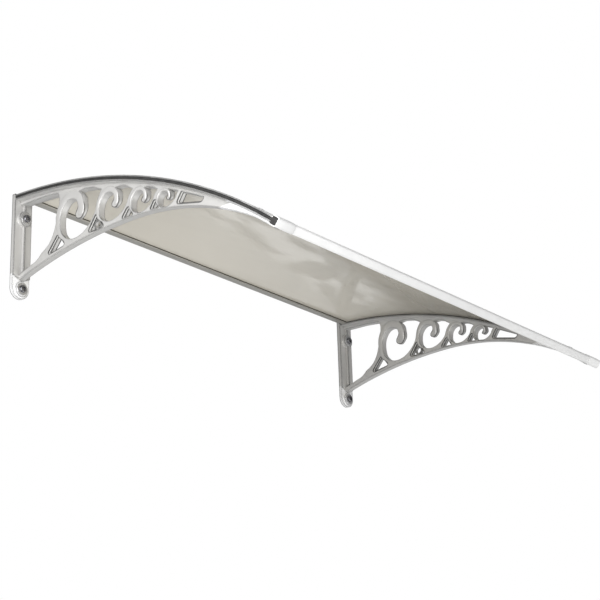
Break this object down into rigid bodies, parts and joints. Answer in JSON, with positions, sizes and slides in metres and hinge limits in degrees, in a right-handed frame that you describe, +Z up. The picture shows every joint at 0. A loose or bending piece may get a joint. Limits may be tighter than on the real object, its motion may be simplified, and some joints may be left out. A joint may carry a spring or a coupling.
{
  "type": "door canopy",
  "caption": "Wall canopy for a door: a bowed clear sheet on two cast scroll brackets, with edge gaskets, cover strips, a capped front rail and a sealed wall rail.",
  "frame": {"origin": "back face of the wall rail, midway between the brackets, level with the tops of their wall plates", "axes": "+X along the wall to the right bracket, +Y into the wall, +Z up; the canopy reaches out toward -Y"},
  "size_m": [1.2084, 0.7571, 0.3005],
  "materials": {
    "cast_bracket": "silver grey paint over a fine cast grain, satin",
    "clear_sheet": "smooth translucent sheet with a slight warm grey tint",
    "black_rubber": "matt black",
    "bare_aluminium": "brushed along its length",
    "white_rail": "white powder coat",
    "bolt_steel": "dark zinc plate",
    "washer_steel": "zinc plate"
  },
  "bodies": {
    "root": {"bracket_left": "cast_bracket", "bracket_right": "cast_bracket", "canopy_sheet": "clear_sheet", "edge_gasket_left": "black_rubber", "edge_gasket_right": "black_rubber", "cover_strip_left": "bare_aluminium", "cover_strip_right": "bare_aluminium", "front_rail": "white_rail", "front_rail_cap_left": "white_rail", "front_rail_cap_right": "white_rail", "rail_end_plug_left": "black_rubber", "rail_end_plug_right": "black_rubber", "wall_rail": "white_rail", "wall_rail_seal": "black_rubber", "wall_bolt_upper_left": "bolt_steel", "wall_bolt_lower_left": "bolt_steel", "wall_bolt_upper_right": "bolt_steel", "wall_bolt_lower_right": "bolt_steel", "washer_upper_left": "washer_steel", "washer_lower_left": "washer_steel", "washer_upper_right": "washer_steel", "washer_lower_right": "washer_steel", "strip_screw_1_left": "washer_steel", "strip_screw_2_left": "washer_steel", "strip_screw_3_left": "washer_steel", "strip_screw_4_left": "washer_steel", "strip_screw_1_right": "washer_steel", "strip_screw_2_right": "washer_steel", "strip_screw_3_right": "washer_steel", "strip_screw_4_right": "washer_steel"}
  },
  "joints": []
}
